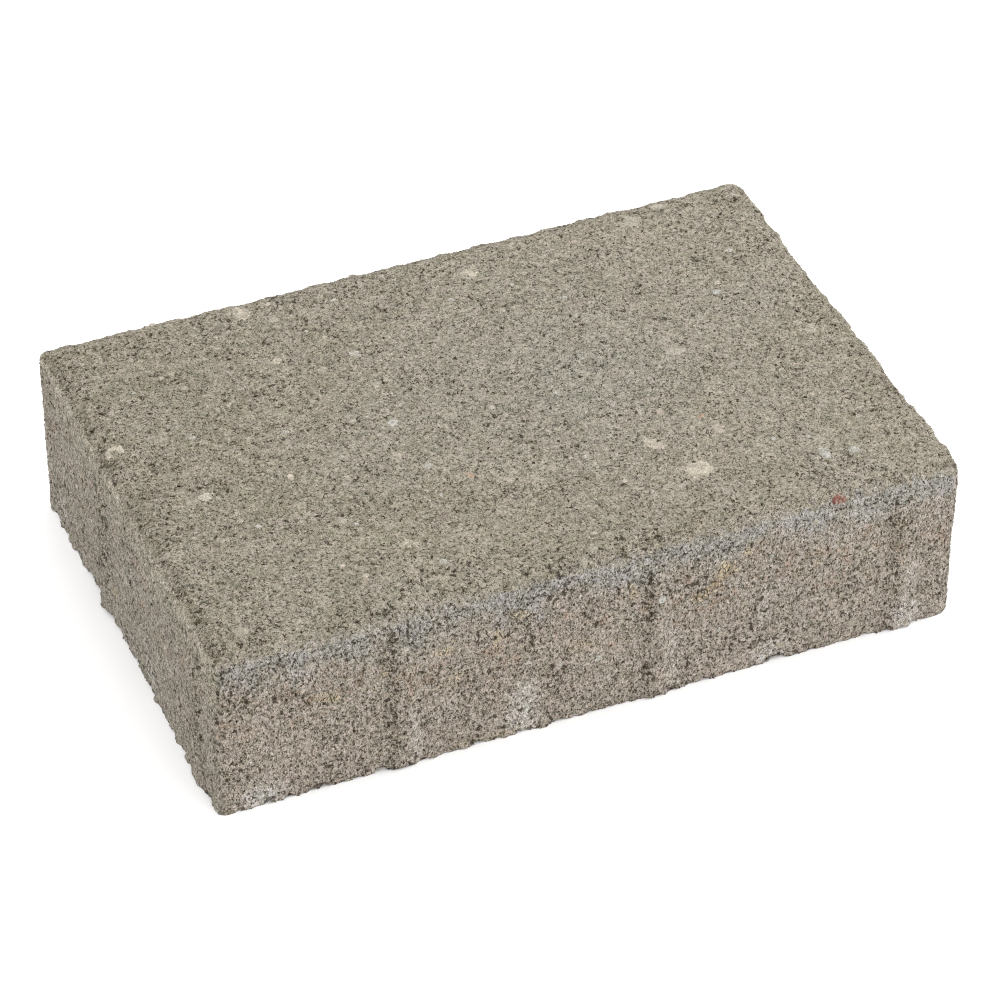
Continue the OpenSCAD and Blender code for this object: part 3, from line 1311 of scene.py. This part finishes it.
def lumps(name: str, columns: dict[str, np.ndarray], settings: dict[str, object]) -> bpy.types.Object:
    """Make one piece of many grains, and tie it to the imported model.

    Args:
        name: The piece's name.
        columns: The grains' places, under "place", and each attribute that the tree or the finish reads.
        settings: Values for the tree's inputs, by name.

    Returns:
        The piece, as a plain mesh.
    """
    mesh = bpy.data.meshes.new(name)
    mesh.vertices.add(len(columns["place"]))
    mesh.vertices.foreach_set("co", columns.pop("place").astype(np.float32).ravel())
    for key, values in columns.items():
        keep(mesh, key, values)
    piece = put(name, mesh)
    modifier = piece.modifiers.new("lumps", "NODES")
    modifier.node_group = bpy.data.node_groups.get("lumps_on_points") or lump_tree()
    for item in modifier.node_group.interface.items_tree:
        if item.in_out == "INPUT" and item.name in settings:
            modifier[item.identifier] = settings[item.name]
    settle(piece)
    Sheet().lay(piece.data)
    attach(piece, BODY)
    return piece


class Stone(Enum):
    """The kinds of gravel in the mix, each with its colour."""

    CREAM = srgb(168, 159, 143)
    WHITE = srgb(182, 176, 164)
    PALE = srgb(153, 147, 134)
    COOL = srgb(163, 161, 154)
    PINK = srgb(166, 155, 142)
    RUST = srgb(148, 122, 103)
    RED = srgb(112, 68, 59)
    DULL = srgb(144, 137, 123)


@dataclass(frozen=True)
class Pebble:
    """One pebble that shows in the wearing face."""

    x: float
    y: float
    long: float
    wide: float
    turn: float
    kind: Stone


@dataclass
class Gravel:
    """Pebbles worn bare: the large ones at chosen places on the wearing face, the small ones at random."""

    small: int = 430
    least: float = 0.9
    most: float = 2.4
    longer: tuple[float, float] = (0.8, 1.3)
    proud: float = 0.34
    flatness: float = 0.4
    level: float = 0.93
    thickness: tuple[float, float] = (0.5, 0.05)
    lump: float = 0.5
    lump_size: float = 2.4
    mix: tuple[tuple[Stone, float], ...] = (
        (Stone.DULL, 0.5), (Stone.PALE, 0.25), (Stone.PINK, 0.15), (Stone.COOL, 0.1)
    )
    seed: int = 21
    cover: Pair | None = field(default=None, init=False)

    def chosen(self) -> list[Pebble]:
        """List the pebbles that stand out on the wearing face.

        Returns:
            The pebbles.
        """
        return [
            Pebble(44.7, -52.2, 9.4, 8.4, 20, Stone.CREAM),
            Pebble(35.4, -35.6, 5.6, 4.6, 70, Stone.CREAM),
            Pebble(38.4, -37.6, 5.4, 4.2, 20, Stone.PINK),
            Pebble(-95.0, -8.8, 4.2, 4.0, 0, Stone.WHITE),
            Pebble(-99.5, -9.6, 4.0, 1.6, 0, Stone.PALE),
            Pebble(-47.8, -50.8, 6.4, 4.6, -20, Stone.CREAM),
            Pebble(82.2, -59.2, 6.0, 3.8, 100, Stone.COOL),
            Pebble(90.5, -61.3, 3.8, 3.0, 0, Stone.COOL),
            Pebble(-54.5, 70.3, 7.2, 6.0, 90, Stone.CREAM),
            Pebble(-57.0, 72.5, 3.4, 2.8, 0, Stone.PALE),
            Pebble(-46.5, 63.7, 3.6, 3.2, 0, Stone.PALE),
            Pebble(18.3, 62.8, 6.0, 4.6, 10, Stone.CREAM),
            Pebble(76.3, 68.7, 7.0, 5.4, 110, Stone.PALE),
            Pebble(88.0, 72.8, 5.2, 3.2, 0, Stone.PALE),
            Pebble(103.8, -3.0, 6.4, 5.2, 30, Stone.PALE),
            Pebble(111.3, -12.2, 3.2, 2.8, 0, Stone.DULL),
            Pebble(-31.2, 2.8, 4.2, 3.6, 60, Stone.COOL),
            Pebble(-29.5, -19.7, 3.2, 2.8, 0, Stone.COOL),
            Pebble(-60.7, -34.2, 4.8, 3.2, 10, Stone.PALE),
            Pebble(-1.2, -1.8, 2.4, 2.2, 0, Stone.PALE),
            Pebble(31.3, 2.8, 4.4, 3.2, -15, Stone.DULL),
            Pebble(20.5, -2.2, 3.2, 2.8, 0, Stone.COOL),
            Pebble(-112.8, 21.2, 6.4, 5.4, 80, Stone.CREAM),
            Pebble(55.2, -30.0, 2.4, 2.0, 0, Stone.RUST),
            Pebble(58.0, -37.2, 5.4, 3.6, 110, Stone.PINK),
            Pebble(-19.8, -28.5, 4.4, 2.8, -40, Stone.RUST),
            Pebble(-74.5, 30.0, 3.2, 2.8, 0, Stone.PINK),
            Pebble(-41.7, 35.0, 3.2, 2.6, 0, Stone.PALE),
            Pebble(-29.5, 38.2, 4.6, 4.0, 0, Stone.COOL),
            Pebble(-52.8, 43.7, 3.2, 2.8, 0, Stone.CREAM),
            Pebble(45.5, 58.3, 4.4, 3.2, 20, Stone.PALE),
            Pebble(61.3, 2.8, 7.4, 5.6, 15, Stone.PALE),
            Pebble(-9.8, -35.2, 4.2, 2.2, -70, Stone.PINK),
            Pebble(-68.7, -9.7, 3.2, 2.8, 0, Stone.PINK),
            Pebble(-51.2, -7.2, 2.8, 2.4, 0, Stone.PALE),
            Pebble(-106.2, -68.8, 5.0, 4.0, 0, Stone.DULL),
            Pebble(-3.7, -75.8, 3.8, 2.4, 80, Stone.DULL),
            Pebble(-64.5, -59.7, 2.8, 2.4, 0, Stone.CREAM),
            Pebble(-41.7, -62.2, 2.8, 2.4, 0, Stone.COOL),
            Pebble(-108.7, -44.7, 2.4, 2.0, 0, Stone.PALE),
            Pebble(78.0, -78.1, 3.7, 2.3, 10, Stone.RED),
        ]

    def build(self, surface: Surface, material: bpy.types.Material) -> bpy.types.Object:
        """Make the pebbles and note the ground that each one covers.

        Args:
            surface: What they lie in.
            material: Their finish.

        Returns:
            The piece.
        """
        draw = np.random.default_rng(self.seed)
        large, count = self.chosen(), self.small
        flat = (np.abs(surface.normal).max(1) > self.level) & (surface.normal[:, 2] > -0.5)
        place, normal = surface.scatter(count, flat, draw)
        axis = np.abs(normal).argmax(1)
        aim = np.zeros_like(normal)
        aim[np.arange(count), axis] = np.sign(normal[np.arange(count), axis])
        bare = math.sqrt(1 - (1 - self.proud) ** 2)
        size = draw.uniform(self.least, self.most, count) / 2 / bare
        extent = np.stack([size * draw.uniform(*self.longer, count), size, size * self.flatness], 1) * MM
        kinds, shares = zip(*self.mix)
        tones = np.array([kind.value for kind in kinds])[draw.choice(len(kinds), count, p=shares)]

        spots = np.array([(stone.x, stone.y) for stone in large]) * MM
        reach = np.array([stone.wide for stone in large]) * MM / 2
        seats = [self.seat(surface, spot, radius) for spot, radius in zip(spots, reach)]
        top_place = np.column_stack([spots, [height for height, _ in seats]])
        base, growth = self.thickness
        halves = [(one.long / 2 / bare, one.wide / 2 / bare, base + growth * one.wide) for one in large]
        extent = np.vstack([np.array(halves) * MM, extent])
        aim = np.vstack([[way for _, way in seats], aim])
        proud = extent[:, 2] * self.proud
        self.cover = (np.vstack([top_place, place]), extent[:, :2].mean(1) * bare)
        turns = np.radians([stone.turn for stone in large])
        columns = {
            "place": self.cover[0] - aim * (extent[:, 2] - proud)[:, None],
            "aim": aim,
            "extent": extent,
            "turn": np.concatenate([turns, draw.uniform(0, math.tau, count)]),
            "paint": np.vstack([[stone.kind.value for stone in large], tones]),
        }
        settings = {"Segments": 8, "Rings": 6, "Lump": self.lump, "Lump Size": self.lump_size}
        return lumps("exposed_gravel", columns, settings | {"Material": material})

    def seat(self, surface: Surface, spot: np.ndarray, radius: float) -> tuple[float, np.ndarray]:
        """Find how high the skin lies under a pebble, and which way it faces there.

        Args:
            surface: The skin.
            spot: The pebble's X and Y, in metres.
            radius: Its half width, in metres.

        Returns:
            The height, in metres, and the outward direction.
        """
        least_reach, face_share = 1.2, 0.9
        apart, height = np.hypot(*(surface.middle[:, :2] - spot).T), surface.middle[:, 2]
        upper = (surface.normal[:, 2] > 0.5) & (height > height.max() * face_share)
        near = (apart < max(radius, least_reach * MM)) & upper
        way = (surface.normal[near] * surface.area[near, None]).sum(0)
        return float(height[near].mean()), way / np.linalg.norm(way)

    def clear(self, place: np.ndarray) -> np.ndarray:
        """Say which places lie off every pebble.

        Args:
            place: The places, in metres.

        Returns:
            True for each place that does.
        """
        free = np.ones(len(place), bool)
        for middle, radius in zip(*self.cover):
            free &= ((place - middle) ** 2).sum(1) > radius**2
        return free


@dataclass
class Sand:
    """Loose-looking sand grains that stand in the cement paste, over the whole surface but the bed."""

    grains: int = 23_000
    least: float = 0.34
    most: float = 0.66
    uneven: tuple[float, float] = (0.8, 1.2)
    flatness: float = 0.72
    sunk: float = 0.4
    tilt: float = 0.3
    on_gravel: float = 0.12
    bed_gap: float = 1.2
    upward: float = 0.75
    lump: float = 0.16
    lump_size: float = 0.6
    seed: int = 5

    def build(
        self, surface: Surface, gravel: Gravel, material: bpy.types.Material
    ) -> list[bpy.types.Object]:
        """Make the grains, in four pieces.

        Args:
            surface: What they stand on.
            gravel: The pebbles, which few grains cover.
            material: Their finish.

        Returns:
            The pieces.
        """
        up = surface.normal[:, 2] > self.upward
        under = (surface.normal[:, 2] < -0.5) | (surface.middle[:, 2] < self.bed_gap * MM)
        right = surface.middle[:, 0] > 0
        front = surface.middle[:, 1] * 1.5 < -surface.middle[:, 0]
        regions = {
            "face_left": up & ~right,
            "face_right": up & right,
            "sides_front": ~up & ~under & front,
            "sides_back": ~up & ~under & ~front,
        }
        settings = {"Lump": self.lump, "Lump Size": self.lump_size, "Material": material}
        drawn = {name: self.grown(surface, chosen, gravel) for name, chosen in regions.items()}
        return [lumps("sand_" + name, columns, settings) for name, columns in drawn.items()]

    def grown(self, surface: Surface, chosen: np.ndarray, gravel: Gravel) -> dict[str, np.ndarray]:
        """Draw the grains of one region.

        Args:
            surface: What they stand on.
            chosen: Which of its triangles are in the region.
            gravel: The pebbles, which few grains cover.

        Returns:
            The grains' places and their attributes, by name.
        """
        draw = np.random.default_rng(self.seed)
        place, aim = surface.scatter(self.grains, chosen, draw)
        kept = (draw.random(self.grains) < self.on_gravel) | gravel.clear(place)
        place, aim = place[kept], aim[kept]
        count = len(place)
        size = draw.uniform(self.least, self.most, count) * MM
        extent = size[:, None] * draw.uniform(*self.uneven, (count, 3)) * (1, 1, self.flatness)
        return {
            "place": place - aim * (extent[:, 2:] * self.sunk),
            "aim": aim + draw.normal(0, self.tilt, aim.shape),
            "extent": extent,
            "turn": draw.uniform(0, math.tau, count),
            "own_tone": draw.uniform(-1, 1, count),
        }


# ---------------------------------------------------------------- the studio


@dataclass
class Studio:
    """A pale floor, soft light and the camera."""

    azimuth: float = -23.289
    elevation: float = 39.76
    roll: float = 0.578
    distance: float = 1310.4
    target: Triple = (-1.633, -10.089, 30.0)
    lens: float = 155.26
    sensor: float = 36.0
    clip: tuple[float, float] = (0.01, 50.0)
    floor_size: float = 8.0
    floor_tone: float = 0.95
    floor_rough: float = 0.9
    floor_shine: float = 0.1
    sky: float = 1.6
    key: float = 1.1
    key_from: Triple = (0.889, -0.163, 0.426)
    key_spread: float = 40.0
    filter_width: float = 1.15

    def axes(self) -> tuple[Vector, Vector, Vector]:
        """Work out the camera's own axes.

        Returns:
            The camera's right, up and backward directions.
        """
        turn, rise, roll = (math.radians(angle) for angle in (self.azimuth, self.elevation, self.roll))
        back = Vector((math.sin(turn) * math.cos(rise), -math.cos(turn) * math.cos(rise), math.sin(rise)))
        right = Vector((0, 0, 1)).cross(back).normalized()
        up = back.cross(right)
        tilted = math.cos(roll) * right + math.sin(roll) * up
        return tilted, back.cross(tilted), back

    def place_camera(self) -> None:
        """Make the camera and set it as the scene's own."""
        right, up, back = self.axes()
        data = bpy.data.cameras.new("camera")
        data.lens = self.lens
        data.sensor_width = self.sensor
        data.clip_start, data.clip_end = self.clip
        camera = put("camera", data)
        turned = Matrix((right, up, back)).transposed().to_4x4()
        camera.matrix_world = Matrix.Translation((Vector(self.target) + back * self.distance) * MM) @ turned
        bpy.context.scene.camera = camera

    def lay_floor(self) -> None:
        """Make the floor, a wide pale plane under the stone."""
        bpy.ops.mesh.primitive_grid_add(x_subdivisions=4, y_subdivisions=4, size=self.floor_size)
        floor = bpy.context.object
        floor.name = "floor"
        made = bpy.data.materials.new("pale_floor")
        made.use_nodes = True
        shader = made.node_tree.nodes["Principled BSDF"]
        shader.inputs["Base Color"].default_value = (self.floor_tone, self.floor_tone, self.floor_tone, 1.0)
        shader.inputs["Roughness"].default_value = self.floor_rough
        shader.inputs["Specular IOR Level"].default_value = self.floor_shine
        floor.data.materials.append(made)

    def light(self) -> None:
        """Set an even white sky and one wide soft light from the right."""
        world = bpy.data.worlds.new("studio_sky")
        world.use_nodes = True
        background = world.node_tree.nodes["Background"]
        background.inputs["Color"].default_value = (1.0, 1.0, 1.0, 1.0)
        background.inputs["Strength"].default_value = self.sky
        bpy.context.scene.world = world
        data = bpy.data.lights.new("key", "SUN")
        data.angle = math.radians(self.key_spread)
        data.energy = self.key
        lamp = put("key", data)
        lamp.rotation_mode = "QUATERNION"
        lamp.rotation_quaternion = Vector(self.key_from).to_track_quat("Z", "Y")

    def build(self) -> None:
        """Set up the camera, floor, light and plain colour handling."""
        self.place_camera()
        self.lay_floor()
        self.light()
        scene = bpy.context.scene
        scene.view_settings.view_transform = "Standard"
        scene.cycles.use_denoising = True
        scene.cycles.denoising_prefilter = "NONE"
        scene.cycles.filter_width = self.filter_width


def main() -> None:
    """Build the stone and its studio, and report each piece."""
    logging.basicConfig(level=logging.INFO, format="%(name)s: %(message)s")
    groups = {tree.name: tree for tree in (grain_group(), cloud_group())}
    Studio().build()
    skin = Skin()
    concrete = ConcreteFinish(skin.half, skin.relief).build(groups)
    stone = skin.build()
    skin.dress(stone, concrete)
    surface, gravel = Surface(stone), Gravel()
    pebbles = gravel.build(surface, GravelFinish().build(groups))
    for piece in (stone, pebbles, *Sand().build(surface, gravel, concrete)):
        LOG.info("%s: %d faces", piece.name, len(piece.data.polygons))


if __name__ == "__main__":
    main()
